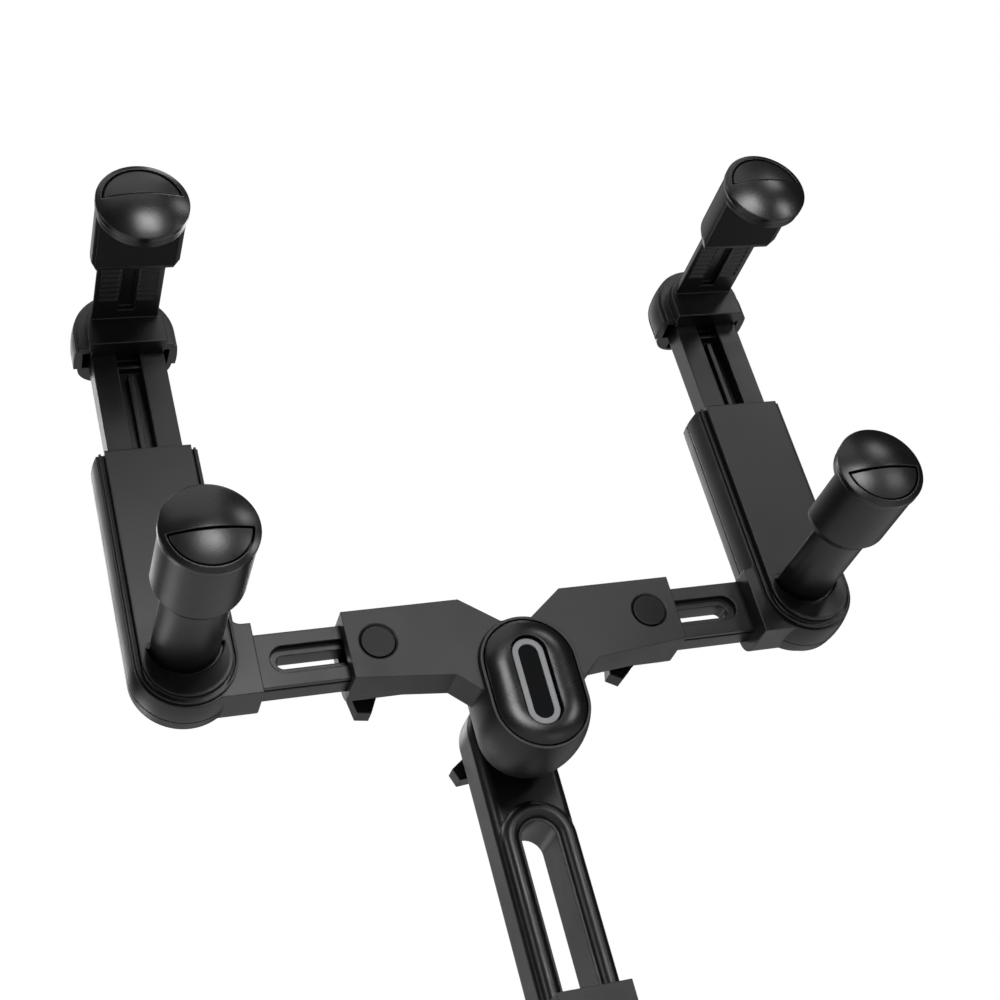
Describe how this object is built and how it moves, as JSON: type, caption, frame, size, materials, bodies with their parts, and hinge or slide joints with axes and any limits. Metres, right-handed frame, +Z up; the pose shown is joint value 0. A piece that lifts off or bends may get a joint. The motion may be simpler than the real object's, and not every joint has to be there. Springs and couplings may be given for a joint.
{
  "type": "rear-view mirror phone mount",
  "caption": "Frame with four screw-locked, telescoping corners whose jaws grip a car's rear-view mirror; an arm swivels below its hub and carries a phone cradle.",
  "frame": {"origin": "on the arm's swivel axis, in the plane of the yoke's front face", "axes": "+X to the right as the driver sees it, +Y away from the driver, +Z up"},
  "size_m": [0.1891, 0.1032, 0.2832],
  "materials": {
    "yoke_front": "black plastic with a fine satin texture",
    "back_cover_left": "black plastic with a fine satin texture",
    "back_cover_right": "black plastic with a fine satin texture",
    "hub_cap": "smooth black plastic, soft sheen",
    "hub_ring": "light grey moulded plastic",
    "hub_window": "gloss black plastic",
    "screw_plugs": "black plastic with a fine satin texture",
    "lock_screws": "zinc-plated steel",
    "pivot_bolt": "zinc-plated steel",
    "pivot_washer": "black acetal",
    "rail_knob_left": "black plastic, satin",
    "rail_knob_right": "black plastic, satin",
    "rail_left": "black plastic with a fine satin texture",
    "rail_right": "black plastic with a fine satin texture",
    "corner_shell_left": "black plastic, satin",
    "corner_shell_right": "black plastic, satin",
    "corner_front_left": "black plastic with a fine satin texture",
    "corner_front_right": "black plastic with a fine satin texture",
    "riser_left": "black plastic with a fine satin texture",
    "riser_right": "black plastic with a fine satin texture",
    "bracket_shell_left": "black plastic, satin",
    "bracket_shell_right": "black plastic, satin",
    "bracket_front_left": "black plastic with a fine satin texture",
    "bracket_front_right": "black plastic with a fine satin texture",
    "jaw_lower_left": "black plastic, satin",
    "jaw_lower_right": "black plastic, satin",
    "jaw_upper_left": "black plastic, satin",
    "jaw_upper_right": "black plastic, satin",
    "pad_lower_left": "black rubber",
    "pad_lower_right": "black rubber",
    "pad_upper_left": "black rubber",
    "pad_upper_right": "black rubber",
    "cap_lower_left": "smooth black plastic, soft sheen",
    "cap_lower_right": "smooth black plastic, soft sheen",
    "cap_upper_left": "smooth black plastic, soft sheen",
    "cap_upper_right": "smooth black plastic, soft sheen",
    "button_lower_left": "smooth black plastic, soft sheen",
    "button_lower_right": "smooth black plastic, soft sheen",
    "button_upper_left": "smooth black plastic, soft sheen",
    "button_upper_right": "smooth black plastic, soft sheen",
    "spring_lower_left": "zinc-plated steel",
    "spring_lower_right": "zinc-plated steel",
    "spring_upper_left": "zinc-plated steel",
    "spring_upper_right": "zinc-plated steel",
    "pawl_lower_left": "zinc-plated steel",
    "pawl_lower_right": "zinc-plated steel",
    "pawl_upper_left": "zinc-plated steel",
    "pawl_upper_right": "zinc-plated steel",
    "arm": "black plastic, satin",
    "arm_knob": "black plastic, satin",
    "carriage": "black plastic, satin",
    "carriage_screw": "zinc-plated steel",
    "carriage_knob": "black plastic, satin",
    "tilt_pin": "zinc-plated steel",
    "cradle_base": "black plastic, satin",
    "cradle_cover": "black plastic, satin",
    "clamp_left": "black plastic, satin",
    "clamp_right": "black plastic, satin",
    "cradle_foot": "black plastic, satin"
  },
  "bodies": {
    "yoke": {"yoke_front": "yoke_front", "back_cover_left": "back_cover_left", "back_cover_right": "back_cover_right", "hub_cap": "hub_cap", "hub_ring": "hub_ring", "hub_window": "hub_window", "screw_plugs": "screw_plugs", "lock_screws": "lock_screws", "pivot_bolt": "pivot_bolt", "pivot_washer": "pivot_washer"},
    "rail_knob_left": {"rail_knob_left": "rail_knob_left"},
    "rail_knob_right": {"rail_knob_right": "rail_knob_right"},
    "side_left": {"rail_left": "rail_left", "corner_shell_left": "corner_shell_left", "corner_front_left": "corner_front_left"},
    "riser_left": {"riser_left": "riser_left", "bracket_shell_left": "bracket_shell_left", "bracket_front_left": "bracket_front_left"},
    "grip_lower_left": {"jaw_lower_left": "jaw_lower_left", "pad_lower_left": "pad_lower_left", "cap_lower_left": "cap_lower_left", "spring_lower_left": "spring_lower_left", "pawl_lower_left": "pawl_lower_left"},
    "button_lower_left": {"button_lower_left": "button_lower_left"},
    "grip_upper_left": {"jaw_upper_left": "jaw_upper_left", "pad_upper_left": "pad_upper_left", "cap_upper_left": "cap_upper_left", "spring_upper_left": "spring_upper_left", "pawl_upper_left": "pawl_upper_left"},
    "button_upper_left": {"button_upper_left": "button_upper_left"},
    "side_right": {"rail_right": "rail_right", "corner_shell_right": "corner_shell_right", "corner_front_right": "corner_front_right"},
    "riser_right": {"riser_right": "riser_right", "bracket_shell_right": "bracket_shell_right", "bracket_front_right": "bracket_front_right"},
    "grip_lower_right": {"jaw_lower_right": "jaw_lower_right", "pad_lower_right": "pad_lower_right", "cap_lower_right": "cap_lower_right", "spring_lower_right": "spring_lower_right", "pawl_lower_right": "pawl_lower_right"},
    "button_lower_right": {"button_lower_right": "button_lower_right"},
    "grip_upper_right": {"jaw_upper_right": "jaw_upper_right", "pad_upper_right": "pad_upper_right", "cap_upper_right": "cap_upper_right", "spring_upper_right": "spring_upper_right", "pawl_upper_right": "pawl_upper_right"},
    "button_upper_right": {"button_upper_right": "button_upper_right"},
    "arm": {"arm": "arm"},
    "arm_knob": {"arm_knob": "arm_knob"},
    "carriage": {"carriage": "carriage", "carriage_screw": "carriage_screw", "tilt_pin": "tilt_pin"},
    "carriage_knob": {"carriage_knob": "carriage_knob"},
    "cradle": {"cradle_base": "cradle_base", "cradle_cover": "cradle_cover"},
    "clamp_left": {"clamp_left": "clamp_left"},
    "clamp_right": {"clamp_right": "clamp_right"},
    "cradle_foot": {"cradle_foot": "cradle_foot"}
  },
  "joints": [
    {"name": "rail_knob_left_turn", "type": "hinge", "parent": "yoke", "child": "rail_knob_left", "pos_m": [-0.0359, 0.0204, 0.0163], "axis": [0, -1, 0], "range_deg": [0, 540]},
    {"name": "side_left_slide", "type": "slide", "parent": "yoke", "child": "side_left", "axis": [-1, 0, 0], "range_m": [-0.0088, 0.0058]},
    {"name": "riser_left_slide", "type": "slide", "parent": "side_left", "child": "riser_left", "axis": [0, 0, 1], "range_m": [-0.027, 0.008]},
    {"name": "grip_lower_left_slide", "type": "slide", "parent": "side_left", "child": "grip_lower_left", "axis": [0, 1, 0], "range_m": [-0.004, 0.0065]},
    {"name": "button_lower_left_press", "type": "slide", "parent": "grip_lower_left", "child": "button_lower_left", "axis": [0, 1, 0], "range_m": [0, 0.0016], "stiffness_N_per_m": 800, "springref_m": -0.002},
    {"name": "grip_upper_left_slide", "type": "slide", "parent": "riser_left", "child": "grip_upper_left", "axis": [0, 1, 0], "range_m": [-0.004, 0.0065]},
    {"name": "button_upper_left_press", "type": "slide", "parent": "grip_upper_left", "child": "button_upper_left", "axis": [0, 1, 0], "range_m": [0, 0.0016], "stiffness_N_per_m": 800, "springref_m": -0.002},
    {"name": "rail_knob_right_turn", "type": "hinge", "parent": "yoke", "child": "rail_knob_right", "pos_m": [0.0359, 0.0204, 0.0163], "axis": [0, -1, 0], "range_deg": [0, 540]},
    {"name": "side_right_slide", "type": "slide", "parent": "yoke", "child": "side_right", "axis": [1, 0, 0], "range_m": [-0.0088, 0.0058]},
    {"name": "riser_right_slide", "type": "slide", "parent": "side_right", "child": "riser_right", "axis": [0, 0, 1], "range_m": [-0.027, 0.008]},
    {"name": "grip_lower_right_slide", "type": "slide", "parent": "side_right", "child": "grip_lower_right", "axis": [0, 1, 0], "range_m": [-0.004, 0.0065]},
    {"name": "button_lower_right_press", "type": "slide", "parent": "grip_lower_right", "child": "button_lower_right", "axis": [0, 1, 0], "range_m": [0, 0.0016], "stiffness_N_per_m": 800, "springref_m": -0.002},
    {"name": "grip_upper_right_slide", "type": "slide", "parent": "riser_right", "child": "grip_upper_right", "axis": [0, 1, 0], "range_m": [-0.004, 0.0065]},
    {"name": "button_upper_right_press", "type": "slide", "parent": "grip_upper_right", "child": "button_upper_right", "axis": [0, 1, 0], "range_m": [0, 0.0016], "stiffness_N_per_m": 800, "springref_m": -0.002},
    {"name": "arm_swivel", "type": "hinge", "parent": "yoke", "child": "arm", "pos_m": [0, 0.0246, 0], "axis": [0, -1, 0], "range_deg": [-45, 45]},
    {"name": "arm_knob_turn", "type": "hinge", "parent": "yoke", "child": "arm_knob", "pos_m": [0, 0.042, 0], "axis": [0, -1, 0], "range_deg": [0, 540]},
    {"name": "carriage_slide", "type": "slide", "parent": "arm", "child": "carriage", "axis": [0, 0, 1], "range_m": [-0.001, 0.048]},
    {"name": "carriage_knob_turn", "type": "hinge", "parent": "carriage", "child": "carriage_knob", "pos_m": [0, 0.043, -0.0787], "axis": [0, -1, 0], "range_deg": [0, 540]},
    {"name": "cradle_tilt", "type": "hinge", "parent": "carriage", "child": "cradle", "pos_m": [0, 0.01215, -0.118], "axis": [1, 0, 0], "range_deg": [-30, 30]},
    {"name": "clamp_right_slide", "type": "slide", "parent": "cradle", "child": "clamp_right", "axis": [1, 0, 0], "range_m": [-0.003, 0.01], "stiffness_N_per_m": 60, "springref_m": -0.01},
    {"name": "clamp_left_slide", "type": "slide", "parent": "cradle", "child": "clamp_left", "axis": [-1, 0, 0], "range_m": [-0.003, 0.01]},
    {"name": "cradle_foot_slide", "type": "slide", "parent": "cradle", "child": "cradle_foot", "axis": [0, 0, -1], "range_m": [0, 0.01]}
  ],
  "couplings": [
    {"joint": "clamp_left_slide", "follows": "clamp_right_slide", "ratio": 1}
  ]
}
